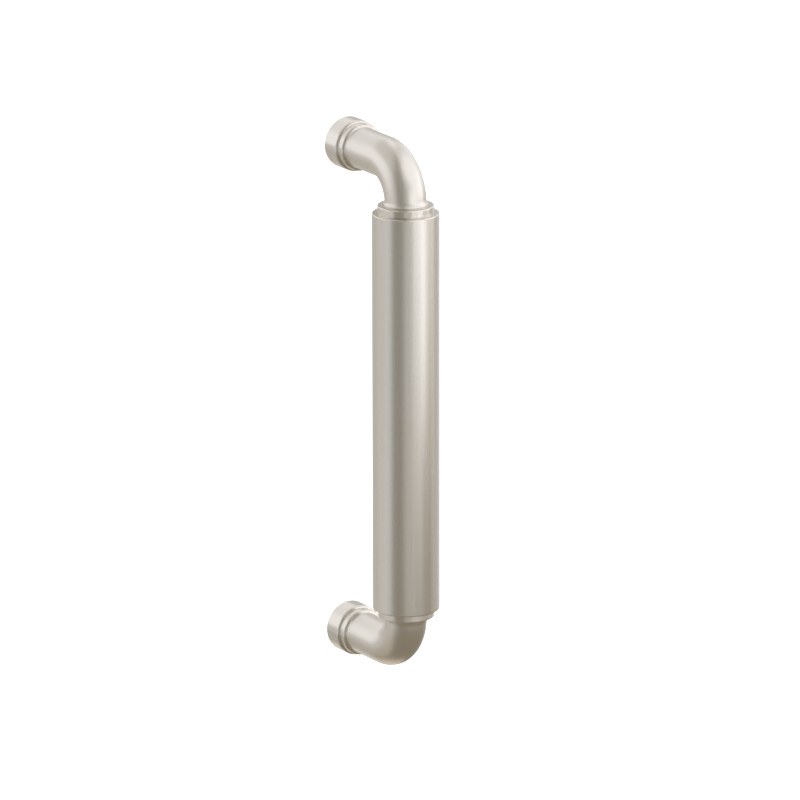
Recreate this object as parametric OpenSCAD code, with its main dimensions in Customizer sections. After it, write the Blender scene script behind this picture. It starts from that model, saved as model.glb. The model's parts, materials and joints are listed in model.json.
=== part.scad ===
// Door pull handle: a tube grip between two cast elbows on turned, stepped feet.
// The door face is the plane Y = 0, the handle stands out towards -Y, and Z is up.

/* [Fixing] */
// Distance between the centres of the two fixing holes
fixing_centres = 203.2; // [150:0.1:400]
// Distance from the door face to the centre line of the grip
projection = 45; // [40:0.5:70]
// Thread size of the fixing holes
fixing_thread_d = 8; // [5:1:8]
// Depth of each fixing hole, measured from the end of the spigot
fixing_depth = 24; // [12:1:28]

/* [Grip] */
// Outside diameter of the grip tube
grip_d = 27; // [25:0.5:36]
// Wall thickness of the grip tube
tube_wall = 3; // [2.5:0.1:3.5]
// Radius of the rounded outer edge at each end of the grip tube
grip_edge_r = 0.5; // [0.2:0.1:1]

/* [End caps] */
// Diameter of the collar that shows between the grip and the elbow
collar_d = 22.7; // [22:0.1:24.4]
// Height of the collar
collar_h = 3.2; // [2:0.1:6]
// Radius of the rounded edge of the collar
collar_edge_r = 0.5; // [0.2:0.1:0.9]
// Length of the plug inside the tube
plug_length = 14; // [10:1:25]
// Length of the chamfer that leads the plug into the tube
plug_chamfer = 1; // [0.4:0.1:2]

/* [Elbows] */
// Diameter of the elbow
elbow_d = 16.8; // [15:0.1:18]
// Radius of the bend, measured on its centre line
bend_r = 16.2; // [13:0.1:20]
// Height of the bead at the grip end
bead_h = 2.2; // [1.4:0.1:3]
// Amount by which the bead stands proud of the elbow
bead_proud = 0.3; // [0.2:0.05:0.6]
// Diameter of the spigot that carries the foot
spigot_d = 13; // [11:0.1:14]
// Distance from the end of the spigot to the door face
spigot_setback = 0.3; // [0:0.1:0.8]

/* [Feet] */
// Diameter of the base, which stands on the door
base_d = 21; // [20.4:0.1:28]
// Height of the base
base_h = 9.2; // [5:0.1:12]
// Diameter of the ring between the base and the elbow
ring_d = 19; // [18.8:0.1:20.2]
// Height of the ring
ring_h = 3.4; // [2:0.1:5]
// Radius of the rounded front edges of the base and the ring
foot_edge_r = 0.9; // [0.3:0.1:1]
// Diameter of the relief turned into the back of the foot
relief_d = 17; // [15:0.1:18.4]
// Depth of the relief
relief_depth = 0.8; // [0.4:0.1:1.5]

/* [Joint studs] */
// Thread size of the studs that join the end caps to the elbows
stud_d = 8; // [5:1:8]
// Depth of the stud's hole in the elbow
stud_in_elbow = 9; // [6:0.5:10]
// Length of the stud inside the end cap
stud_in_cap = 13; // [8:0.5:16]
// Chamfer at both ends of the stud
stud_chamfer = 0.8; // [0.3:0.1:1.2]

/* [Fits] */
// Gap all round between a turned part and its bore
fit_gap = 0.025; // [0.01:0.005:0.1]
// Gap all round between a stud and its tapped hole
thread_gap = 0.02; // [0.01:0.005:0.1]

/* [Hidden] */
// Half angle of a twist drill's point, measured from the axis
drill_half_angle = 59;
// Height of the foot axes above and below the middle of the handle
foot_z = fixing_centres / 2;
// Height at which the bend starts, which is also the top face of the collar
joint_z = foot_z - bend_r;
// Half of the grip tube's length
grip_half = joint_z - collar_h;
// Bore of the grip tube
tube_bore_d = grip_d - 2 * tube_wall;
// Height of the whole foot
foot_h = base_h + ring_h;
// Overlap that lets joined volumes merge, and lets cutters pass through a face
lap = 1;
$fn = 96;

// Half of a disc's section from r = 0 to r, with rounded corners at the top, the bottom or both
module disc_section(r, h, edge_r, top = true, bottom = true) {
    low = bottom ? edge_r : 0;
    high = top ? edge_r : 0;
    square([r - edge_r, h]);
    translate([0, low]) square([r, h - low - high]);
    if (top) translate([r - edge_r, h - edge_r]) circle(edge_r);
    if (bottom) translate([r - edge_r, edge_r]) circle(edge_r);
}

// A shape drawn along +Z from the origin, laid on a foot axis so that it grows out from the door
module from_door(y = 0) {
    translate([0, -y, foot_z]) rotate([90, 0, 0]) children();
}

// A shape drawn along +Z from the origin, placed on the grip's centre line at a height
module on_grip_axis(z) {
    translate([0, -projection, z]) children();
}

// Brushed tube with rounded outer edges
module grip_tube() {
    color("#b9b4a8")
    on_grip_axis(-grip_half) difference() {
        rotate_extrude() disc_section(grip_d / 2, 2 * grip_half, grip_edge_r);
        translate([0, 0, -lap]) cylinder(d = tube_bore_d, h = 2 * grip_half + 2 * lap);
    }
}

// Turned cap at the upper end: collar above the tube, plug inside it, tapped through
module end_cap() {
    plug_r = tube_bore_d / 2 - fit_gap;
    color("#c9c4b8")
    on_grip_axis(grip_half) difference() {
        union() {
            rotate_extrude() disc_section(collar_d / 2, collar_h, collar_edge_r, bottom = false);
            translate([0, 0, plug_chamfer - plug_length])
                cylinder(r = plug_r, h = plug_length - plug_chamfer + lap);
            translate([0, 0, -plug_length])
                cylinder(r1 = plug_r - plug_chamfer, r2 = plug_r, h = plug_chamfer);
        }
        translate([0, 0, -plug_length - lap])
            cylinder(r = stud_d / 2 + thread_gap, h = plug_length + collar_h + 2 * lap);
    }
}

// Stud with chamfered ends, screwed home in the elbow and into the cap
module joint_stud() {
    length = stud_in_elbow + stud_in_cap;
    color("#a8a49c")
    on_grip_axis(joint_z - stud_in_cap) {
        cylinder(d1 = stud_d - 2 * stud_chamfer, d2 = stud_d, h = stud_chamfer);
        translate([0, 0, stud_chamfer]) cylinder(d = stud_d, h = length - 2 * stud_chamfer);
        translate([0, 0, length - stud_chamfer])
            cylinder(d1 = stud_d, d2 = stud_d - 2 * stud_chamfer, h = stud_chamfer);
    }
}

// Quarter bend from the grip's centre line round to the foot axis
module bend() {
    translate([0, bend_r - projection, joint_z]) rotate([90, 0, -90])
        rotate_extrude(angle = 90) translate([bend_r, 0]) circle(d = elbow_d);
}

// Blind hole with a drill point, drawn along +Z from its mouth at the origin
module drilled_hole(d, depth) {
    translate([0, 0, -lap]) cylinder(d = d, h = depth + lap);
    translate([0, 0, depth]) cylinder(d1 = d, d2 = 0, h = d / 2 / tan(drill_half_angle));
}

// Cast elbow at the upper end: bead, bend, neck and spigot, with a hole at each end
module elbow() {
    neck_length = projection - bend_r - foot_h;
    color("#cfcac0")
    difference() {
        union() {
            bend();
            from_door(foot_h) cylinder(d = elbow_d, h = neck_length);
            from_door(spigot_setback) cylinder(d = spigot_d, h = foot_h - spigot_setback + lap);
            on_grip_axis(joint_z) rotate_extrude() {
                square([elbow_d / 2 - bead_h / 2, bead_h]);
                translate([elbow_d / 2 + bead_proud - bead_h / 2, bead_h / 2]) circle(d = bead_h);
            }
        }
        from_door(spigot_setback) drilled_hole(fixing_thread_d, fixing_depth);
        on_grip_axis(joint_z) translate([0, 0, -lap])
            cylinder(r = stud_d / 2 + thread_gap, h = stud_in_elbow + lap);
    }
}

// Turned foot at the upper end: base and ring with rounded front edges, bored for the spigot
module foot() {
    color("#c4bfb3")
    from_door() difference() {
        rotate_extrude() {
            disc_section(base_d / 2, base_h, foot_edge_r, bottom = false);
            disc_section(ring_d / 2, foot_h, foot_edge_r, bottom = false);
        }
        translate([0, 0, -lap]) cylinder(r = spigot_d / 2 + fit_gap, h = foot_h + 2 * lap);
        translate([0, 0, -lap]) cylinder(d = relief_d, h = relief_depth + lap);
    }
}

// The same piece at the lower end
module lower() {
    mirror([0, 0, 1]) children();
}

grip_tube();
end_cap();  // upper_end_cap
lower() end_cap();  // lower_end_cap
joint_stud();  // upper_joint_stud
lower() joint_stud();  // lower_joint_stud
elbow();  // upper_elbow
lower() elbow();  // lower_elbow
foot();  // upper_foot
lower() foot();  // lower_foot
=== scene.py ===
"""Looks of a door pull handle: a brushed tube grip between two cast elbows on turned, stepped feet.

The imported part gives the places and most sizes. Lengths are in metres, in the part's own frame: the
door face is the plane Y = 0, the handle stands out towards -Y, and Z is up along the grip.
"""

import json
import logging
import math
from dataclasses import dataclass
from enum import Enum

import bpy
from mathutils import Matrix, Vector


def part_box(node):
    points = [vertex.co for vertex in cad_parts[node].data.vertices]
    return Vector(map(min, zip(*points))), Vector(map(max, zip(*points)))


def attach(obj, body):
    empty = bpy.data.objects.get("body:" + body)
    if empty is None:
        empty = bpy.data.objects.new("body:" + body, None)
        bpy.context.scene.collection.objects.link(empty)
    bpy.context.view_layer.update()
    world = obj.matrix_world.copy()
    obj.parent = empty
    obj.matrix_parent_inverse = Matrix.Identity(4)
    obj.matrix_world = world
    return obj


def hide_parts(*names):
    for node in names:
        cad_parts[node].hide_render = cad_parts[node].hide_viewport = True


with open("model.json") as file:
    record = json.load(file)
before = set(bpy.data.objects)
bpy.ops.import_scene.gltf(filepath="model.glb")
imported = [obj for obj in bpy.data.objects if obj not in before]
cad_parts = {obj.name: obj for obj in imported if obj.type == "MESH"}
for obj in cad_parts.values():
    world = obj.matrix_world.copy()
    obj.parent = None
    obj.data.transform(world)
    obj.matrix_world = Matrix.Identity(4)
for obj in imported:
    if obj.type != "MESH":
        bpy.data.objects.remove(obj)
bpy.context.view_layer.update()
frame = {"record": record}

LOG = logging.getLogger("door_pull")
MM = 0.001
BODY = "root"
UV_NAME = "UVMap"
DRAWN_TO = 0.1 * MM
MERGE_DISTANCE = 0.0005 * MM
SHARP_EDGE_ANGLE = math.radians(25)

Point = tuple[float, float]


def linear(hex_colour: str) -> tuple[float, float, float, float]:
    """Turns an sRGB hex colour into the linear colour that a shader takes.

    Args:
        hex_colour: Six hex digits after a hash sign.

    Returns:
        Linear red, green and blue, and an alpha of 1.
    """
    def channel(start: int) -> float:
        """Returns one linear channel of the colour."""
        value = int(hex_colour[start:start + 2], 16) / 255
        return value / 12.92 if value <= 0.04045 else ((value + 0.055) / 1.055) ** 2.4

    return channel(1), channel(3), channel(5), 1.0


def nominal(length: float) -> float:
    """Rounds a length measured on a mesh to the tenth of a millimetre that it was drawn to."""
    return round(length / DRAWN_TO) * DRAWN_TO


def add_node(
    tree: bpy.types.NodeTree, kind: str, inputs: dict | None = None, **settings
) -> bpy.types.Node:
    """Adds a node to a tree, sets its properties and fills its inputs.

    Args:
        tree: The node tree that gets the node.
        kind: Blender's name for the kind of node.
        inputs: Input name or number to the number it holds, or to the value or socket that feeds it.
        **settings: The node's own properties.

    Returns:
        The new node.
    """
    node = tree.nodes.new(kind)
    for name, value in settings.items():
        setattr(node, name, value)
    for key, value in (inputs or {}).items():
        source = value.socket if isinstance(value, Value) else value
        if isinstance(source, bpy.types.NodeSocket):
            tree.links.new(source, node.inputs[key])
        else:
            node.inputs[key].default_value = source
    return node


@dataclass(frozen=True)
class Value:
    """A number that a node tree works out. Sums of values are written with the usual signs.

    Attributes:
        socket: The socket that holds the number.
    """

    socket: bpy.types.NodeSocket

    def __add__(self, other: "Value | float") -> "Value":
        """Returns the sum."""
        return calculate("ADD", self, other)

    def __sub__(self, other: "Value | float") -> "Value":
        """Returns the difference."""
        return calculate("SUBTRACT", self, other)

    def __rsub__(self, other: float) -> "Value":
        """Returns a plain number less this value."""
        return calculate("SUBTRACT", other, self)

    def __mul__(self, other: "Value | float") -> "Value":
        """Returns the product."""
        return calculate("MULTIPLY", self, other)

    def __truediv__(self, other: "Value | float") -> "Value":
        """Returns the quotient."""
        return calculate("DIVIDE", self, other)


def calculate(operation: str, *terms: Value | float) -> Value:
    """Adds a Math node and returns its result.

    Args:
        operation: The Math node's operation.
        *terms: Values or plain numbers in order, with at least one value.

    Returns:
        The result.
    """
    tree = next(term.socket.id_data for term in terms if isinstance(term, Value))
    node = add_node(tree, "ShaderNodeMath", dict(enumerate(terms)), operation=operation)
    return Value(node.outputs[0])


def axes_of(place: bpy.types.NodeSocket) -> list[Value]:
    """Splits a place into its X, Y and Z."""
    outputs = add_node(place.id_data, "ShaderNodeSeparateXYZ", {0: place}).outputs
    return [Value(socket) for socket in outputs]


def place_at(x: Value, y: Value, z: Value) -> bpy.types.NodeSocket:
    """Joins three values into a place."""
    tree = x.socket.id_data
    return add_node(tree, "ShaderNodeCombineXYZ", {"X": x, "Y": y, "Z": z}).outputs[0]


def scaled(
    tree: bpy.types.NodeTree,
    vector: bpy.types.NodeSocket | tuple[float, float, float],
    factor: Value | float,
) -> bpy.types.NodeSocket:
    """Multiplies a place or a colour by a factor.

    Args:
        tree: The node tree that gets the node.
        vector: The place or colour.
        factor: The factor.

    Returns:
        The socket that holds the product.
    """
    inputs = {0: vector, "Scale": factor}
    return add_node(tree, "ShaderNodeVectorMath", inputs, operation="SCALE").outputs[0]


@dataclass(frozen=True)
class Corner:
    """A corner of a turned outline.

    Attributes:
        r: Distance from the axis.
        h: Height along the axis.
        rounding: Radius of the fillet at the corner, or 0 for a sharp one.
    """

    r: float
    h: float
    rounding: float = 0.0


class Outline:
    """The half section of a turned piece, drawn anticlockwise with the axis on its left."""

    FILLET_STEP = math.radians(7.5)
    SUPPORT = 0.06 * MM
    SHORTEST_SUPPORTED = 4 * SUPPORT

    def __init__(self, corners: list[Corner], closed: bool) -> None:
        """Keeps the corners.

        Args:
            corners: The corners in order, anticlockwise.
            closed: True for a ring with a hole through it, False where both ends are on the axis.
        """
        self.corners = corners
        self.closed = closed

    def _fillet(self, before: Vector, at: Vector, after: Vector, radius: float) -> list[Vector]:
        """Rounds one corner with an arc that touches both of its sides.

        Args:
            before: The corner before it.
            at: The corner itself.
            after: The corner after it.
            radius: The arc's radius.

        Returns:
            The arc's points, from the side before to the side after.
        """
        side_in, side_out = (before - at).normalized(), (after - at).normalized()
        turn = math.pi - side_in.angle(side_out)
        reach = radius * math.tan(turn / 2)
        centre = at + (side_in + side_out).normalized() * radius / math.cos(turn / 2)
        start = at + side_in * reach - centre
        way = 1 if side_in.cross(side_out) < 0 else -1
        steps = max(2, math.ceil(turn / self.FILLET_STEP))
        return [
            centre + Matrix.Rotation(way * turn * step / steps, 2) @ start
            for step in range(steps + 1)
        ]

    def points(self) -> list[Point]:
        """Works out the outline's points.

        A point close to each end of a straight stretch keeps its shading flat up to the edge.

        Returns:
            Radius and height of each point, in order.
        """
        places = [Vector((c.r, c.h)) for c in self.corners]
        count = len(places)
        stretches = []
        for i, corner in enumerate(self.corners):
            if corner.rounding > 0:
                stretches.append(
                    self._fillet(places[i - 1], places[i], places[(i + 1) % count], corner.rounding)
                )
            else:
                stretches.append([places[i]])
        if self.closed:
            stretches.append(stretches[0][:1])
        found: list[Vector] = []
        for stretch in stretches:
            if found:
                along = stretch[0] - found[-1]
                if along.length > self.SHORTEST_SUPPORTED:
                    inset = along.normalized() * self.SUPPORT
                    found += [found[-1] + inset, stretch[0] - inset]
            found += stretch
        return [(p.x, p.y) for p in found]


@dataclass(frozen=True)
class TreeInput:
    """A named input of a Geometry Nodes tree.

    Attributes:
        name: The name that the modifier shows.
        kind: Blender's name for the kind of socket.
        default: The value it holds before a piece sets it.
    """

    name: str
    kind: str
    default: float | int | None = None


class ShapeTree:
    """A Geometry Nodes tree with named inputs, which every piece of one kind shares."""

    NAME = "Shape"
    INPUTS: tuple[TreeInput, ...] = ()

    def __init__(self) -> None:
        """Builds the tree with its inputs, its rule and its closing nodes."""
        self.tree = bpy.data.node_groups.new(self.NAME, "GeometryNodeTree")
        face = self.tree.interface
        face.new_socket("Geometry", in_out="OUTPUT", socket_type="NodeSocketGeometry")
        face.new_socket("Geometry", in_out="INPUT", socket_type="NodeSocketGeometry")
        for item in (*self.INPUTS, TreeInput("Material", "NodeSocketMaterial")):
            socket = face.new_socket(item.name, in_out="INPUT", socket_type=item.kind)
            if item.default is not None:
                socket.default_value = item.default
        self.given = add_node(self.tree, "NodeGroupInput").outputs
        self._close(self._rule())

    def _numbers(self) -> list[Value]:
        """Returns the tree's own inputs as values, in order."""
        return [Value(self.given[item.name]) for item in self.INPUTS]

    def _rule(self) -> bpy.types.NodeSocket:
        """Adds the nodes that make the shape and returns their geometry."""
        raise NotImplementedError

    def _close(self, shape: bpy.types.NodeSocket) -> None:
        """Merges the seam and poles, marks sharp edges, and ends the tree.

        Args:
            shape: The geometry that the rule made.
        """
        tree = self.tree
        merged = add_node(
            tree, "GeometryNodeMergeByDistance", {"Geometry": shape, "Distance": MERGE_DISTANCE}
        ).outputs[0]
        angle = Value(add_node(tree, "GeometryNodeInputMeshEdgeAngle").outputs["Unsigned Angle"])
        smooth = add_node(
            tree, "GeometryNodeSetShadeSmooth", {"Geometry": merged, "Shade Smooth": True}, domain="FACE"
        ).outputs[0]
        edged = add_node(
            tree,
            "GeometryNodeSetShadeSmooth",
            {
                "Geometry": smooth,
                "Selection": calculate("GREATER_THAN", angle, SHARP_EDGE_ANGLE),
                "Shade Smooth": False,
            },
            domain="EDGE",
        ).outputs[0]
        real = add_node(tree, "GeometryNodeRealizeInstances", {"Geometry": edged}).outputs[0]
        dressed = add_node(
            tree, "GeometryNodeSetMaterial", {"Geometry": real, "Material": self.given["Material"]}
        ).outputs[0]
        add_node(tree, "NodeGroupOutput", {"Geometry": dressed})

    def attach(self, piece: bpy.types.Object, **values) -> None:
        """Puts the tree on a piece as a modifier.

        Args:
            piece: The object that carries the outline or shape that the tree works on.
            **values: Each named input's value, with _ for a space in its name.
        """
        modifier = piece.modifiers.new(self.NAME, "NODES")
        modifier.node_group = self.tree
        known = {
            item.name: item.identifier
            for item in self.tree.interface.items_tree
            if item.in_out == "INPUT"
        }
        for name, value in values.items():
            modifier[known[name.replace("_", " ").capitalize()]] = value


class LatheTree(ShapeTree):
    """Turns an outline round the Z axis. With turns and a lead, it winds it into a screw thread."""

    NAME = "Lathe"
    INPUTS = (
        TreeInput("Steps", "NodeSocketInt", 96),
        TreeInput("Turns", "NodeSocketFloat", 1.0),
        TreeInput("Lead", "NodeSocketFloat", 0.0),
        TreeInput("Root radius", "NodeSocketFloat", 0.0),
        TreeInput("Run out", "NodeSocketFloat", 0.0),
    )
    LEAST_RUN_OUT = 1e-6

    def _rule(self) -> bpy.types.NodeSocket:
        """Lays a grid over the outline and the turns.

        A thread's ridge grows out of its root over the run out at each end.

        Returns:
            The turned geometry.
        """
        tree, outline = self.tree, self.given["Geometry"]
        steps, turns, lead, root_radius, run_out = self._numbers()
        count = add_node(
            tree, "GeometryNodeAttributeDomainSize", {"Geometry": outline}, component="MESH"
        ).outputs["Point Count"]
        columns = steps + 1.0
        grid = add_node(tree, "GeometryNodeMeshGrid", {"Vertices X": count, "Vertices Y": columns})
        index = Value(add_node(tree, "GeometryNodeInputIndex").outputs[0])
        row = calculate("FLOOR", (index + 0.5) / columns)
        share = (index - row * columns) / steps
        corner = add_node(
            tree,
            "GeometryNodeSampleIndex",
            {
                "Geometry": outline,
                "Value": add_node(tree, "GeometryNodeInputPosition").outputs[0],
                "Index": row,
            },
            data_type="FLOAT_VECTOR",
        ).outputs[0]
        out, _, up = axes_of(corner)
        turned = share * turns
        to_end = calculate("MINIMUM", turned, turns - turned)
        grown = calculate("MINIMUM", to_end / calculate("MAXIMUM", run_out, self.LEAST_RUN_OUT), 1.0)
        has_ends = calculate("GREATER_THAN", run_out, 0.0)
        scale = (1.0 - has_ends) + grown * has_ends
        radius = root_radius + (out - root_radius) * scale
        height = up * scale + turned * lead
        angle = turned * math.tau
        place = place_at(
            radius * calculate("COSINE", angle), radius * calculate("SINE", angle), height
        )
        turned_mesh = add_node(
            tree, "GeometryNodeSetPosition", {"Geometry": grid.outputs["Mesh"], "Position": place}
        ).outputs[0]
        mapped = add_node(
            tree,
            "GeometryNodeStoreNamedAttribute",
            {"Geometry": turned_mesh, "Name": UV_NAME, "Value": grid.outputs["UV Map"]},
            data_type="FLOAT2",
            domain="CORNER",
        ).outputs[0]
        return add_node(tree, "GeometryNodeFlipFaces", {"Mesh": mapped}).outputs[0]


class BendTree(ShapeTree):
    """Bends a piece turned straight along Z: a quarter bend towards +Y, and straight on after it.

    A bore at the start is drilled after the bend, so it stays straight.
    """

    NAME = "Bend"
    INPUTS = (
        TreeInput("Bend radius", "NodeSocketFloat", 0.0),
        TreeInput("Bore radius", "NodeSocketFloat", 0.0),
    )

    def _rule(self) -> bpy.types.NodeSocket:
        """Moves each point by its distance along the axis.

        Returns:
            The bent geometry.
        """
        tree = self.tree
        bend_radius, bore_radius = self._numbers()
        x, y, along = axes_of(add_node(tree, "GeometryNodeInputPosition").outputs[0])
        quarter = bend_radius * (math.pi / 2)
        angle = calculate("MINIMUM", along / bend_radius, math.pi / 2)
        straight_on = calculate("MAXIMUM", along - quarter, 0.0)
        sine, cosine = calculate("SINE", angle), calculate("COSINE", angle)
        bent_y = bend_radius * (1.0 - cosine) + straight_on + y * cosine
        bent_z = sine * (bend_radius - y)
        from_axis = calculate("SQRT", x * x + y * y)
        in_bore = calculate("LESS_THAN", from_axis, bore_radius) * calculate(
            "LESS_THAN", along, quarter
        )
        return add_node(
            tree,
            "GeometryNodeSetPosition",
            {
                "Geometry": self.given["Geometry"],
                "Selection": 1.0 - in_bore,
                "Position": place_at(x, bent_y, bent_z),
            },
        ).outputs[0]


class End(Enum):
    """The two ends of the handle. The lower one is the upper one turned half round the Y axis."""

    UPPER = "upper"
    LOWER = "lower"

    def turn(self) -> Matrix:
        """Returns the turn from the upper end to this one."""
        return Matrix.Rotation(0.0 if self is End.UPPER else math.pi, 4, "Y")


@dataclass(frozen=True)
class Layout:
    """Where the pieces meet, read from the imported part.

    Attributes:
        projection: Distance from the door face to the grip's centre line.
        foot_height: Height of the foot axes above and below the middle.
        grip_radius: Outside radius of the grip.
        grip_half: Half of the grip's length.
        joint_height: Height of the collars' outer faces above and below the middle.
        collar_radius: Radius of the collars.
        base_radius: Radius of the feet's bases.
        foot_depth: Height of the feet, from the door.
        thread_radius: Major radius of the fixing threads.
        thread_depth: Depth of the fixing threads.
    """

    projection: float
    foot_height: float
    grip_radius: float
    grip_half: float
    joint_height: float
    collar_radius: float
    base_radius: float
    foot_depth: float
    thread_radius: float
    thread_depth: float

    @classmethod
    def from_frame(cls, record: dict) -> "Layout":
        """Measures the CAD nodes and reads the fixing mount.

        Args:
            record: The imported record.

        Returns:
            The layout.
        """
        grip_low, grip_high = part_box("grip_tube")
        cap_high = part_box("upper_end_cap")[1]
        foot_low, foot_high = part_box("upper_foot")
        fixing = next(m for m in record["mounts"] if m["name"] == "upper_fixing")
        grip_radius = nominal(grip_high.x)
        return cls(
            projection=nominal(-(grip_low.y + grip_high.y) / 2),
            foot_height=nominal((foot_low.z + foot_high.z) / 2),
            grip_radius=grip_radius,
            grip_half=nominal(grip_high.z),
            joint_height=nominal(cap_high.z),
            collar_radius=nominal(cap_high.x * 2) / 2,
            base_radius=nominal(foot_high.x),
            foot_depth=nominal(-foot_low.y),
            thread_radius=fixing["dims"]["r_mm"] * MM,
            thread_depth=fixing["dims"]["length_mm"] * MM,
        )


class Surface:
    """Places on a piece, in millimetres, for a finish to follow.

    Attributes:
        tree: The material's node tree.
        place: The place on the piece.
        x: Its distance to the right.
        y: Its distance towards the door.
        z: Its height.
    """

    NOISE_DETAIL = 3.0

    def __init__(self, tree: bpy.types.NodeTree) -> None:
        """Reads the place on the piece from its own coordinates.

        Args:
            tree: The material's node tree.
        """
        self.tree = tree
        self.place = scaled(tree, add_node(tree, "ShaderNodeTexCoord").outputs["Object"], 1 / MM)
        self.x, self.y, self.z = axes_of(self.place)

    def noise(self, place: bpy.types.NodeSocket) -> Value:
        """Returns a noise from 0 to 1 whose grain is one unit of the given place."""
        inputs = {"Vector": place, "Scale": 1.0, "Detail": self.NOISE_DETAIL}
        return Value(add_node(self.tree, "ShaderNodeTexNoise", inputs).outputs[0])

    def either(self, choice: Value, when_true: Value, when_false: Value) -> Value:
        """Returns one of two values, by a choice of 1 or 0."""
        inputs = {0: choice, 2: when_false, 3: when_true}
        return Value(add_node(self.tree, "ShaderNodeMix", inputs).outputs[0])

    def all_ways(self, width: float) -> Value:
        """Returns even noise with marks of one width, in millimetres."""
        return self.noise(scaled(self.tree, self.place, 1 / width))

    def up_the_grip(self, width: float, length: float) -> Value:
        """Returns noise drawn out along Z, with marks of a width and length in millimetres."""
        return self.noise(place_at(self.x / width, self.y / width, self.z / length))

    def round_the_axes(self, layout: Layout, width: float, length: float) -> Value:
        """Draws noise out round the feet's axes and the grip's axis.

        Args:
            layout: Where the axes are.
            width: Width of a mark in millimetres.
            length: Length of a mark in millimetres.

        Returns:
            The noise.
        """
        from_foot_axis = calculate("ABSOLUTE", self.z) - layout.foot_height / MM
        from_grip_axis = self.y + layout.projection / MM
        on_collar = calculate("LESS_THAN", self.y, -layout.projection / 2 / MM)
        across = self.either(on_collar, from_grip_axis, from_foot_axis)
        along = self.either(on_collar, self.z, self.y)
        radius = calculate("SQRT", self.x * self.x + across * across)
        return self.noise(place_at(radius / width, along / width, (self.x + across) / length))


@dataclass(frozen=True)
class MetalFinish:
    """A metal surface with fine marks in it.

    Attributes:
        name: The material's name.
        colour: The metal's colour, as sRGB hex.
        roughness: Its mean roughness.
        swing: How far the marks change the roughness.
        tone: Share of brightness by which the marks vary the colour.
        relief: Depth of the marks in millimetres.
        mark_width: Width of a mark in millimetres.
        mark_length: Length of a mark in millimetres, where it has a direction.
        spread: How far highlights are drawn out across the marks, from 0 to 1.
        spread_turn: Turn of that direction from the outline's own, in whole turns.
    """

    name: str
    colour: str
    roughness: float
    swing: float
    tone: float
    relief: float
    mark_width: float
    mark_length: float = 0.0
    spread: float = 0.0
    spread_turn: float = 0.0

    def _marks(self, surface: Surface, layout: Layout) -> Value:
        """Returns the marks as a noise from 0 to 1."""
        raise NotImplementedError

    def build(self, layout: Layout) -> bpy.types.Material:
        """Builds the material.

        Args:
            layout: Where the handle's axes are.

        Returns:
            The material.
        """
        material = bpy.data.materials.new(self.name)
        material.use_nodes = True
        tree = material.node_tree
        tree.nodes.clear()
        marks = self._marks(Surface(tree), layout)
        swung = marks - 0.5
        bump = add_node(
            tree, "ShaderNodeBump", {"Height": marks, "Strength": 1.0, "Distance": self.relief * MM}
        )
        shader = add_node(
            tree,
            "ShaderNodeBsdfPrincipled",
            {
                "Base Color": scaled(tree, linear(self.colour)[:3], swung * (2 * self.tone) + 1.0),
                "Metallic": 1.0,
                "Roughness": swung * (2 * self.swing) + self.roughness,
                "Normal": bump.outputs[0],
                "Anisotropic": self.spread,
                "Anisotropic Rotation": self.spread_turn,
            },
        )
        if self.spread > 0:
            tangent = add_node(tree, "ShaderNodeTangent", direction_type="UV_MAP", uv_map=UV_NAME)
            tree.links.new(tangent.outputs[0], shader.inputs["Tangent"])
        add_node(tree, "ShaderNodeOutputMaterial", {"Surface": shader.outputs[0]})
        return material


class BrushedNickel(MetalFinish):
    """Satin nickel plate brushed along the grip: straight streaks."""

    def _marks(self, surface: Surface, layout: Layout) -> Value:
        """Returns streaks that run up the grip."""
        return surface.up_the_grip(self.mark_width, self.mark_length)


class TurnedNickel(MetalFinish):
    """Satin nickel plate brushed on the lathe: rings round the axis."""

    def _marks(self, surface: Surface, layout: Layout) -> Value:
        """Returns rings round the feet's and the collars' axes."""
        return surface.round_the_axes(layout, self.mark_width, self.mark_length)


class SatinMetal(MetalFinish):
    """Plate over a polished casting or a plain screw: an even satin with no direction."""

    def _marks(self, surface: Surface, layout: Layout) -> Value:
        """Returns even, fine mottling."""
        return surface.all_ways(self.mark_width)


NICKEL_COLOUR = "#d4cec4"

# The eye sees a pale, warm metal with soft bands of light up the tube and faint streaks along it.
# The streaks are drawn much wider than real brush marks, which are too fine to show from here.
GRIP_NICKEL = BrushedNickel(
    name="satin_nickel_brushed",
    colour=NICKEL_COLOUR,
    roughness=0.27,
    swing=0.02,
    tone=0.045,
    relief=0.003,
    mark_width=1.3,
    mark_length=90.0,
    spread=0.5,
    spread_turn=0.25,
)
# The eye sees highlights that fan out across the face and faint rings round the axis. The rings
# are drawn wider than real ones, too.
TURNED_NICKEL = TurnedNickel(
    name="satin_nickel_turned",
    colour=NICKEL_COLOUR,
    roughness=0.27,
    swing=0.02,
    tone=0.02,
    relief=0.0015,
    mark_width=0.5,
    mark_length=25.0,
    spread=0.5,
)
# The eye sees the same metal with softer, rounder highlights and no grain.
CAST_NICKEL = SatinMetal(
    name="satin_nickel_cast",
    colour=NICKEL_COLOUR,
    roughness=0.36,
    swing=0.02,
    tone=0.01,
    relief=0.001,
    mark_width=0.8,
)
# The eye would see a cooler, slightly uneven grey, where a stud shows at all.
ZINC_STEEL = SatinMetal(
    name="zinc_plated_steel",
    colour="#c3c6c8",
    roughness=0.35,
    swing=0.05,
    tone=0.04,
    relief=0.002,
    mark_width=1.2,
)


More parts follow.
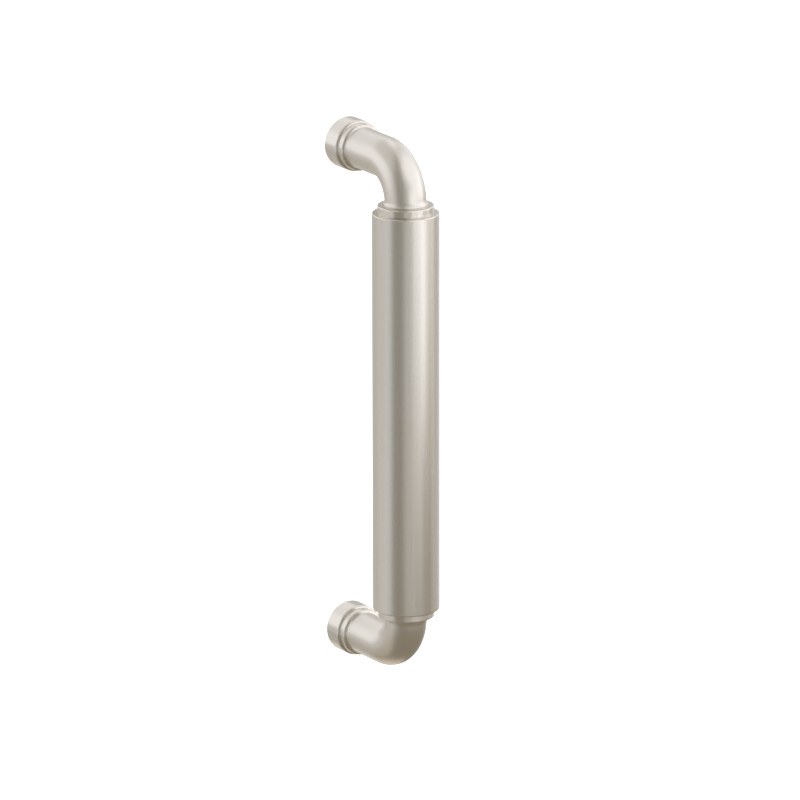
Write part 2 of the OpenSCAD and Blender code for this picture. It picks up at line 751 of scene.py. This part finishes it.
class Workshop:
    """Makes finished pieces: it runs the trees, puts the result in place and fits it to the frame.

    Attributes:
        layout: Where the pieces meet.
        lathe: The tree that turns outlines.
        bend: The tree that bends turned pieces.
        brushed: The finish brushed along the grip.
        turned: The finish brushed on the lathe.
        cast: The finish of the elbows.
        zinc: The finish of the studs.
    """

    def __init__(self, layout: Layout) -> None:
        """Builds the trees and the finishes that the pieces share.

        Args:
            layout: Where the pieces meet.
        """
        self.layout = layout
        self.lathe = LatheTree()
        self.bend = BendTree()
        self.brushed = GRIP_NICKEL.build(layout)
        self.turned = TURNED_NICKEL.build(layout)
        self.cast = CAST_NICKEL.build(layout)
        self.zinc = ZINC_STEEL.build(layout)

    def blank(self, name: str, outline: list[Point]) -> bpy.types.Object:
        """Makes an object that holds an outline as a chain of edges in the XZ plane.

        Args:
            name: The object's name.
            outline: Radius and height of each point.

        Returns:
            The object, linked to the scene.
        """
        mesh = bpy.data.meshes.new(name)
        edges = [(i, i + 1) for i in range(len(outline) - 1)]
        mesh.from_pydata([(r, 0.0, h) for r, h in outline], edges, [])
        piece = bpy.data.objects.new(name, mesh)
        bpy.context.scene.collection.objects.link(piece)
        return piece

    def finish(self, piece: bpy.types.Object, place: Matrix) -> None:
        """Turns a piece's modifiers into a plain mesh and puts its place in the mesh.

        Args:
            piece: The object with its modifiers, which stays at the origin.
            place: Where its mesh goes in the part's frame.
        """
        evaluated = piece.evaluated_get(bpy.context.evaluated_depsgraph_get())
        mesh = bpy.data.meshes.new_from_object(evaluated)
        dressed = next(material for material in mesh.materials if material)
        mesh.materials.clear()
        mesh.materials.append(dressed)
        mesh.polygons.foreach_set("material_index", [0] * len(mesh.polygons))
        piece.modifiers.clear()
        piece.data = mesh
        mesh.name = piece.name
        mesh.transform(place)

    def join(self, piece: bpy.types.Object, part: bpy.types.Object) -> None:
        """Adds a part's mesh to a piece's and removes the part.

        Args:
            piece: The object that keeps both meshes.
            part: The object that is used up.
        """
        with bpy.context.temp_override(active_object=piece, selected_editable_objects=[piece, part]):
            bpy.ops.object.join()

    def hand_over(self, piece: bpy.types.Object, slot: str, node: str | None = None) -> None:
        """Lets a piece ride on the part and hides the CAD node it stands for.

        Args:
            piece: The finished piece.
            slot: The record's material slot; not used.
            node: The CAD node that the piece replaces, if it replaces one.
        """
        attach(piece, BODY)
        if node:
            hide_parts(node)
        LOG.info("%s: %d faces", piece.name, len(piece.data.polygons))


@dataclass(frozen=True)
class MetricThread:
    """An ISO metric thread.

    Attributes:
        major_radius: Radius over the crests of the screw.
        pitch: Distance from one turn to the next.
    """

    major_radius: float
    pitch: float = 1.25 * MM

    STEPS_PER_TURN = 40
    RUN_OUT_TURNS = 0.5
    # As shares of the pitch: the thread's depth, and half of a ridge's width at foot and crest.
    DEPTH = 0.5413
    HALF_FOOT = 7 / 16
    HALF_CREST = 1 / 8

    @property
    def height(self) -> float:
        """Returns the depth of the thread."""
        return self.DEPTH * self.pitch

    def ridge(self, root_radius: float, crest_radius: float) -> list[Point]:
        """Draws the section of one ridge.

        Args:
            root_radius: Radius that the ridge stands on.
            crest_radius: Radius of its crest, inside or outside the root.

        Returns:
            The section's points, closed and anticlockwise.
        """
        foot, crest = self.pitch * self.HALF_FOOT, self.pitch * self.HALF_CREST
        points = [
            (root_radius, -foot),
            (crest_radius, -crest),
            (crest_radius, crest),
            (root_radius, foot),
        ]
        if crest_radius < root_radius:
            points.reverse()
        return [*points, points[0]]

    def wind(
        self,
        workshop: Workshop,
        name: str,
        ridge: list[Point],
        length: float,
        material: bpy.types.Material,
    ) -> bpy.types.Object:
        """Winds a ridge into a thread along Z from the origin.

        Args:
            workshop: The maker of pieces.
            name: The piece's name.
            ridge: The ridge's section, whose first radius is the root's.
            length: The threaded length.
            material: The thread's finish.

        Returns:
            The object with its modifier.
        """
        turns = length / self.pitch - 1
        piece = workshop.blank(name, [(r, h + self.pitch / 2) for r, h in ridge])
        workshop.lathe.attach(
            piece,
            steps=round(turns * self.STEPS_PER_TURN),
            turns=turns,
            lead=self.pitch,
            root_radius=ridge[0][0],
            run_out=self.RUN_OUT_TURNS,
            material=material,
        )
        return piece


@dataclass(frozen=True)
class Grip:
    """The brushed tube and the two turned caps that close it.

    Attributes:
        workshop: The maker of pieces.
        wall: Wall thickness of the tube.
        edge: Rounding of the tube's outer edges.
        collar_edge: Rounding of the collars' outer edges.
        plug_length: Length of each cap inside the tube.
        plug_chamfer: Chamfer at the plug's inner end.
        fit_gap: Gap between plug and tube.
        tapped_radius: Radius of the hole through each cap.
        facets: Faces round each piece.
    """

    workshop: Workshop
    wall: float = 3.0 * MM
    edge: float = 0.5 * MM
    collar_edge: float = 0.5 * MM
    plug_length: float = 14.0 * MM
    plug_chamfer: float = 1.0 * MM
    fit_gap: float = 0.025 * MM
    tapped_radius: float = 4.02 * MM
    facets: int = 192

    def tube(self) -> None:
        """Makes the grip tube."""
        workshop, layout = self.workshop, self.workshop.layout
        outer, half = layout.grip_radius, layout.grip_half
        bore = outer - self.wall
        outline = Outline(
            [
                Corner(bore, -half),
                Corner(outer, -half, self.edge),
                Corner(outer, half, self.edge),
                Corner(bore, half),
            ],
            closed=True,
        )
        piece = workshop.blank("grip_tube_brushed", outline.points())
        workshop.lathe.attach(piece, steps=self.facets, material=workshop.brushed)
        workshop.finish(piece, Matrix.Translation((0, -layout.projection, 0)))
        workshop.hand_over(piece, "satin_nickel_grip", "grip_tube")

    def cap(self, end: End) -> None:
        """Makes the cap at one end: a plug in the tube and a collar on it.

        Args:
            end: The end that it closes.
        """
        workshop, layout = self.workshop, self.workshop.layout
        plug = layout.grip_radius - self.wall - self.fit_gap
        collar_height = layout.joint_height - layout.grip_half
        outline = Outline(
            [
                Corner(self.tapped_radius, -self.plug_length),
                Corner(plug - self.plug_chamfer, -self.plug_length),
                Corner(plug, self.plug_chamfer - self.plug_length),
                Corner(plug, 0),
                Corner(layout.collar_radius, 0),
                Corner(layout.collar_radius, collar_height, self.collar_edge),
                Corner(self.tapped_radius, collar_height),
            ],
            closed=True,
        )
        piece = workshop.blank(f"{end.value}_end_cap_turned", outline.points())
        workshop.lathe.attach(piece, steps=self.facets, material=workshop.turned)
        place = Matrix.Translation((0, -layout.projection, layout.grip_half))
        workshop.finish(piece, end.turn() @ place)
        workshop.hand_over(piece, "satin_nickel_turned", f"{end.value}_end_cap")


@dataclass(frozen=True)
class Standoff:
    """One end of the handle between grip and door: cast elbow, turned foot and fixing thread.

    Attributes:
        workshop: The maker of pieces.
        end: The end that it stands at.
        elbow_radius: Radius of the elbow's round section.
        bend_radius: Radius of the bend's centre line.
        flare_height: Height of the flare that seats the elbow on the collar.
        flare_proud: Amount by which the flare's rim stands proud.
        flare_rim: Height of the flare's rim.
        flare_edge: Rounding of the rim's edge.
        swell_height: Length over which the neck swells towards the foot.
        swell_proud: Amount by which it swells.
        spigot_radius: Radius of the spigot that carries the foot.
        spigot_setback: Distance from the spigot's end to the door.
        stud_hole_radius: Radius of the stud's hole.
        stud_hole_depth: Depth of the stud's hole.
        drill_half_angle: Half angle of the drill's point.
        ring_height: Height of the foot's ring.
        ring_radius: Radius of the foot's ring.
        foot_edge: Rounding of the foot's front edges.
        relief_radius: Radius of the relief in the foot's back.
        relief_depth: Depth of that relief.
        fit_gap: Gap between foot and spigot.
        facets: Faces round each piece.
        bend_steps: Rings of faces along the bend.
        cove_steps: Rings of faces along each cove.
    """

    workshop: Workshop
    end: End
    elbow_radius: float = 8.4 * MM
    bend_radius: float = 16.2 * MM
    flare_height: float = 1.8 * MM
    flare_proud: float = 0.6 * MM
    flare_rim: float = 0.3 * MM
    flare_edge: float = 0.15 * MM
    swell_height: float = 2.0 * MM
    swell_proud: float = 0.15 * MM
    spigot_radius: float = 6.5 * MM
    spigot_setback: float = 0.3 * MM
    stud_hole_radius: float = 4.02 * MM
    stud_hole_depth: float = 9.0 * MM
    drill_half_angle: float = math.radians(59)
    ring_height: float = 3.4 * MM
    ring_radius: float = 9.6 * MM
    foot_edge: float = 1.6 * MM
    relief_radius: float = 8.5 * MM
    relief_depth: float = 0.8 * MM
    fit_gap: float = 0.025 * MM
    facets: int = 160
    bend_steps: int = 60
    cove_steps: int = 8

    def _cove(self, height: float, proud: float, edge: float = 0.0) -> list[Point]:
        """Draws a cove that swells out from the elbow's wall.

        Args:
            height: Height of the cove.
            proud: Amount by which its foot stands proud of the wall.
            edge: Rounding of the edge where it ends.

        Returns:
            Radius and height of each point, from the foot up to the wall.
        """
        both_radii = (height ** 2 + proud ** 2) / (2 * proud)
        hollow = both_radii - edge
        sweep = math.asin(height / both_radii)
        turns = [sweep * i / self.cove_steps for i in range(self.cove_steps + 1)]
        foot = self.elbow_radius + proud
        rounded = [(foot - edge * (1 - math.cos(a)), edge * math.sin(a)) for a in turns[:-1]]
        hollowed = [
            (self.elbow_radius + hollow * (1 - math.cos(a)), height - hollow * math.sin(a))
            for a in reversed(turns)
        ]
        return [*rounded, *hollowed] if edge else hollowed

    def _elbow_outline(self) -> list[Point]:
        """Works out the elbow's half section as it would be turned, before it is bent.

        Returns:
            Radius and height of each point, from the bottom of the stud's hole to the drill's point.
        """
        layout = self.workshop.layout
        bend = self.bend_radius * math.pi / 2
        shoulder = bend + layout.projection - self.bend_radius - layout.foot_depth
        tip = shoulder + layout.foot_depth - self.spigot_setback
        drilled = tip - layout.thread_depth
        point = layout.thread_radius / math.tan(self.drill_half_angle)
        start = Outline(
            [
                Corner(0, self.stud_hole_depth),
                Corner(self.stud_hole_radius, self.stud_hole_depth),
                Corner(self.stud_hole_radius, 0),
                Corner(self.elbow_radius + self.flare_proud, 0),
            ],
            closed=False,
        ).points()
        hollow = self._cove(self.flare_height - self.flare_rim, self.flare_proud, self.flare_edge)
        flare = [(r, self.flare_rim + h) for r, h in hollow]
        body = [
            (self.elbow_radius, self.flare_height + (bend - self.flare_height) * i / self.bend_steps)
            for i in range(1, self.bend_steps + 1)
        ]
        widening = self._cove(self.swell_height, self.swell_proud)
        swell = [(r, shoulder - h) for r, h in reversed(widening)]
        close = Outline(
            [
                Corner(*swell[-1]),
                Corner(self.spigot_radius, shoulder),
                Corner(self.spigot_radius, tip),
                Corner(layout.thread_radius, tip),
                Corner(layout.thread_radius, drilled),
                Corner(0, drilled - point),
            ],
            closed=False,
        ).points()
        return [*start, *flare, *body, *swell, *close[1:]]

    def elbow(self) -> None:
        """Makes the elbow: turned straight, then bent, with its stud's hole drilled straight."""
        workshop, layout = self.workshop, self.workshop.layout
        piece = workshop.blank(f"{self.end.value}_elbow_cast", self._elbow_outline())
        workshop.lathe.attach(piece, steps=self.facets, material=workshop.cast)
        workshop.bend.attach(
            piece,
            bend_radius=self.bend_radius,
            bore_radius=self.stud_hole_radius + self.fit_gap,
            material=workshop.cast,
        )
        place = Matrix.Translation((0, -layout.projection, layout.joint_height))
        workshop.finish(piece, self.end.turn() @ place)
        workshop.hand_over(piece, "satin_nickel_cast", f"{self.end.value}_elbow")

    def _from_door(self, height: float = 0.0) -> Matrix:
        """Returns the place of a shape that grows along Z from the door, on the foot's axis."""
        place = Matrix.Translation((0, -height, self.workshop.layout.foot_height))
        return self.end.turn() @ place @ Matrix.Rotation(math.pi / 2, 4, "X")

    def _base_rim(self, height: float) -> list[Corner]:
        """Draws the base's rounded rim.

        Args:
            height: Height of the base.

        Returns:
            The rim's corners, from the base's wall up to the ring that stands in it.
        """
        edge = self.foot_edge
        centre = self.workshop.layout.base_radius - edge
        sweep = math.acos((self.ring_radius - centre) / edge)
        steps = math.ceil(sweep / Outline.FILLET_STEP)
        return [
            Corner(centre + edge * math.cos(a), height - edge + edge * math.sin(a))
            for a in (sweep * i / steps for i in range(steps + 1))
        ]

    def foot(self) -> None:
        """Makes the stepped foot, with its bore and the relief in its back."""
        workshop, layout = self.workshop, self.workshop.layout
        bore = self.spigot_radius + self.fit_gap
        base_height = layout.foot_depth - self.ring_height
        outline = Outline(
            [
                Corner(self.relief_radius, 0),
                Corner(layout.base_radius, 0),
                *self._base_rim(base_height),
                Corner(self.ring_radius, layout.foot_depth, self.foot_edge),
                Corner(bore, layout.foot_depth),
                Corner(bore, self.relief_depth),
                Corner(self.relief_radius, self.relief_depth),
            ],
            closed=True,
        )
        piece = workshop.blank(f"{self.end.value}_foot_turned", outline.points())
        workshop.lathe.attach(piece, steps=self.facets, material=workshop.turned)
        workshop.finish(piece, self._from_door())
        workshop.hand_over(piece, "satin_nickel_turned", f"{self.end.value}_foot")

    def thread(self) -> None:
        """Makes the ridges of the fixing thread, which stand on the wall of the elbow's bore."""
        workshop, layout = self.workshop, self.workshop.layout
        thread = MetricThread(layout.thread_radius)
        ridge = thread.ridge(thread.major_radius + self.fit_gap, thread.major_radius - thread.height)
        name = f"{self.end.value}_fixing_thread"
        piece = thread.wind(workshop, name, ridge, layout.thread_depth, workshop.cast)
        workshop.finish(piece, self._from_door(self.spigot_setback))
        workshop.hand_over(piece, "satin_nickel_cast")


@dataclass(frozen=True)
class JointStud:
    """A zinc-plated threaded stud that holds an elbow on its end cap.

    Attributes:
        workshop: The maker of pieces.
        end: The end that it stands at.
        radius: Major radius of its thread.
        in_elbow: Length in the elbow.
        in_cap: Length in the end cap.
        chamfer: Chamfer at both ends.
        sunk: Depth by which the thread's foot is sunk in the core.
        facets: Faces round it.
    """

    workshop: Workshop
    end: End
    radius: float = 4.0 * MM
    in_elbow: float = 9.0 * MM
    in_cap: float = 13.0 * MM
    chamfer: float = 0.8 * MM
    sunk: float = 0.08 * MM
    facets: int = 96

    def build(self) -> None:
        """Makes the stud: a core with chamfered ends, and the ridges of its thread."""
        workshop, layout = self.workshop, self.workshop.layout
        length = self.in_elbow + self.in_cap
        thread = MetricThread(self.radius)
        core = self.radius - thread.height
        outline = Outline(
            [
                Corner(0, 0),
                Corner(core - self.chamfer / 2, 0),
                Corner(core, self.chamfer / 2),
                Corner(core, length - self.chamfer / 2),
                Corner(core - self.chamfer / 2, length),
                Corner(0, length),
            ],
            closed=False,
        )
        name = f"{self.end.value}_joint_stud_threaded"
        piece = workshop.blank(name, outline.points())
        workshop.lathe.attach(piece, steps=self.facets, material=workshop.zinc)
        ridge = thread.ridge(core - self.sunk, self.radius)
        winding = thread.wind(workshop, f"{name}_ridge", ridge, length, workshop.zinc)
        place = Matrix.Translation((0, -layout.projection, layout.joint_height - self.in_cap))
        for part in (piece, winding):
            workshop.finish(part, self.end.turn() @ place)
        workshop.join(piece, winding)
        workshop.hand_over(piece, "zinc_steel", f"{self.end.value}_joint_stud")


@dataclass(frozen=True)
class Sight:
    """A direction to look from, as an azimuth and an elevation in degrees.

    Azimuth 0 looks along +Y and 90 looks along -X.
    """

    azimuth: float
    elevation: float

    def axes(self) -> tuple[Vector, Vector, Vector]:
        """Works out the directions of a view.

        Returns:
            The directions to the right, up and back towards the eye.
        """
        a, e = math.radians(self.azimuth), math.radians(self.elevation)
        back = Vector((math.sin(a) * math.cos(e), -math.cos(a) * math.cos(e), math.sin(e)))
        right = Vector((math.cos(a), math.sin(a), 0))
        return right, back.cross(right), back

    def facing(self, place: Vector, roll: float = 0.0) -> Matrix:
        """Works out the place of a camera or a lamp that looks from here towards the object.

        Args:
            place: Where it stands.
            roll: Its turn about its own line of sight, in degrees.

        Returns:
            The place, with its turn.
        """
        right, up, back = self.axes()
        turned = Matrix((right, up, back)).transposed() @ Matrix.Rotation(math.radians(roll), 3, "Z")
        return Matrix.Translation(place) @ turned.to_4x4()


@dataclass(frozen=True)
class PhotoCamera:
    """The camera at the photograph's viewing angle.

    Attributes:
        sight: Where it looks from.
        roll: Its turn about its line of sight, in degrees.
        distance: Its distance from the handle.
        shift_right: How far right of the handle's middle its axis passes.
        shift_up: How far above the handle's middle its axis passes.
        lens: Focal length in millimetres.
        nearest: Distance where it starts to see.
        farthest: Distance where it stops.
    """

    sight: Sight = Sight(-31.37, 15.80)
    roll: float = -0.10
    distance: float = 3.150
    shift_right: float = 21.03 * MM
    shift_up: float = -5.92 * MM
    lens: float = 350.2
    nearest: float = 0.1
    farthest: float = 50.0

    def build(self) -> None:
        """Makes the camera and gives it to the scene."""
        data = bpy.data.cameras.new("photo_camera")
        data.lens = self.lens
        data.clip_start, data.clip_end = self.nearest, self.farthest
        camera = bpy.data.objects.new("photo_camera", data)
        right, up, back = self.sight.axes()
        place = right * self.shift_right + up * self.shift_up + back * self.distance
        camera.matrix_world = self.sight.facing(place, self.roll)
        bpy.context.scene.collection.objects.link(camera)
        bpy.context.scene.camera = camera


class BoxSize(Enum):
    """The sizes of soft box in the studio, as width and height."""

    LARGE = (3.6, 3.0)
    MEDIUM = (2.1, 1.7)
    SMALL = (0.9, 0.9)
    TINY = (0.15, 0.15)


class Tint(Enum):
    """The colours of light in the studio, as sRGB hex."""

    DAYLIGHT = "#edf3ff"
    SKYLIGHT = "#b8dcff"
    WARM = "#fff8f0"


@dataclass(frozen=True)
class SoftBox:
    """A soft rectangular lamp that faces the handle.

    Attributes:
        name: The lamp's name.
        sight: Where it stands, seen from the handle.
        size: Its size.
        power: Its power in watts.
        tint: Its colour.
        distance: Its distance from the point that it faces.
        aim: Height on the handle's centre line that it faces.
    """

    name: str
    sight: Sight
    size: BoxSize
    power: float
    tint: Tint = Tint.DAYLIGHT
    distance: float = 1.5
    aim: float = 0.0

    def build(self) -> None:
        """Makes the lamp, which lights the handle and doesn't show."""
        data = bpy.data.lights.new(self.name, "AREA")
        data.shape = "RECTANGLE"
        data.size, data.size_y = self.size.value
        data.energy = self.power
        data.color = linear(self.tint.value)[:3]
        lamp = bpy.data.objects.new(self.name, data)
        place = self.sight.axes()[2] * self.distance + Vector((0, 0, self.aim))
        lamp.matrix_world = self.sight.facing(place)
        lamp.visible_camera = False
        bpy.context.scene.collection.objects.link(lamp)


@dataclass(frozen=True)
class Studio:
    """A pale table under soft lamps in a pale room.

    Attributes:
        floor_height: Height of the table below the handle's middle.
        floor_size: Width of the table.
        floor_colour: Colour of the table and of all that shows behind it, as sRGB hex.
        floor_roughness: The table's roughness.
        room_colour: Colour of the room's light, as sRGB hex.
        room_light: Strength of the room's light.
        lamps: The lamps.
    """

    floor_height: float = 0.6
    floor_size: float = 40.0
    floor_colour: str = "#ffffff"
    floor_roughness: float = 0.8
    room_colour: str = "#fff3dc"
    room_light: float = 0.32
    lamps: tuple[SoftBox, ...] = (
        # From above: the pale tops of the elbows, feet and collars.
        SoftBox("back_left_top", Sight(-150, 40), BoxSize.LARGE, 20.0),
        SoftBox("front_right_top", Sight(35, 30), BoxSize.LARGE, 22.0),
        SoftBox("right_top", Sight(70, 45), BoxSize.LARGE, 20.0),
        # About level: the bands up the grip, in order from its left edge to its right.
        SoftBox("back_panel", Sight(160, 0), BoxSize.LARGE, 14.0),
        SoftBox("left_panel", Sight(-115, 5), BoxSize.MEDIUM, 6.0),
        SoftBox("left_low", Sight(-90, -20), BoxSize.SMALL, 0.4, Tint.SKYLIGHT),
        SoftBox("camera_left", Sight(-50, 10), BoxSize.MEDIUM, 1.2, Tint.SKYLIGHT),
        SoftBox("camera_low", Sight(-20, -5), BoxSize.SMALL, 1.0),
        SoftBox("front_panel", Sight(10, 0), BoxSize.SMALL, 2.0),
        SoftBox("right_panel", Sight(60, 0), BoxSize.SMALL, 0.7, Tint.WARM),
        SoftBox("right_side", Sight(100, 5), BoxSize.MEDIUM, 4.0),
        # From below, as off a pale floor: the undersides of the lower elbow and foot.
        SoftBox("floor_left", Sight(-125, -40), BoxSize.SMALL, 0.8, Tint.WARM),
        SoftBox("floor_back", Sight(165, -55), BoxSize.SMALL, 1.5, Tint.WARM),
        # Close by: the stripe that fades down the right of the grip.
        SoftBox("near_lamp", Sight(30, 0), BoxSize.TINY, 0.07, distance=0.5, aim=-0.05),
    )

    def floor(self) -> None:
        """Makes the table top, lit from below so that it stays pale, and unseen in reflections."""
        half = self.floor_size / 2
        mesh = bpy.data.meshes.new("pale_floor")
        corners = [(-half, -half), (half, -half), (half, half), (-half, half)]
        mesh.from_pydata([(x, y, -self.floor_height) for x, y in corners], [], [(0, 1, 2, 3)])
        material = bpy.data.materials.new("pale_acrylic")
        material.use_nodes = True
        tree = material.node_tree
        tree.nodes.clear()
        pale = linear(self.floor_colour)
        shader = add_node(
            tree,
            "ShaderNodeBsdfPrincipled",
            {
                "Base Color": pale,
                "Roughness": self.floor_roughness,
                "Emission Color": pale,
                "Emission Strength": 1.0,
            },
        )
        add_node(tree, "ShaderNodeOutputMaterial", {"Surface": shader.outputs[0]})
        mesh.materials.append(material)
        floor = bpy.data.objects.new("pale_floor", mesh)
        floor.visible_glossy = False
        floor.visible_shadow = False
        bpy.context.scene.collection.objects.link(floor)

    def room(self) -> None:
        """Makes the room's even light, which the camera sees as pale as the table."""
        world = bpy.data.worlds.new("pale_room")
        world.use_nodes = True
        tree = world.node_tree
        tree.nodes.clear()
        glow = add_node(
            tree,
            "ShaderNodeBackground",
            {"Color": linear(self.room_colour), "Strength": self.room_light},
        )
        seen = add_node(
            tree, "ShaderNodeBackground", {"Color": linear(self.floor_colour), "Strength": 1.0}
        )
        split = add_node(
            tree,
            "ShaderNodeMixShader",
            {
                0: add_node(tree, "ShaderNodeLightPath").outputs["Is Camera Ray"],
                1: glow.outputs[0],
                2: seen.outputs[0],
            },
        )
        add_node(tree, "ShaderNodeOutputWorld", {"Surface": split.outputs[0]})
        bpy.context.scene.world = world

    def build(self) -> None:
        """Makes the floor, the room and the lamps."""
        bpy.context.scene.view_settings.view_transform = "Standard"
        self.floor()
        self.room()
        for lamp in self.lamps:
            lamp.build()


class DoorPull:
    """The whole handle: grip, two standoffs and the studs between them."""

    def __init__(self, workshop: Workshop) -> None:
        """Keeps the workshop.

        Args:
            workshop: The maker of pieces.
        """
        self.workshop = workshop

    def build(self) -> None:
        """Makes every piece."""
        grip = Grip(self.workshop)
        grip.tube()
        for end in End:
            grip.cap(end)
            JointStud(self.workshop, end).build()
            standoff = Standoff(self.workshop, end)
            standoff.elbow()
            standoff.foot()
            standoff.thread()


def main() -> None:
    """Builds the studio, the camera and the handle, in that order."""
    Studio().build()
    PhotoCamera().build()
    DoorPull(Workshop(Layout.from_frame(frame["record"]))).build()


if __name__ == "__main__":
    logging.basicConfig(level=logging.INFO, format="%(name)s: %(message)s")
    main()
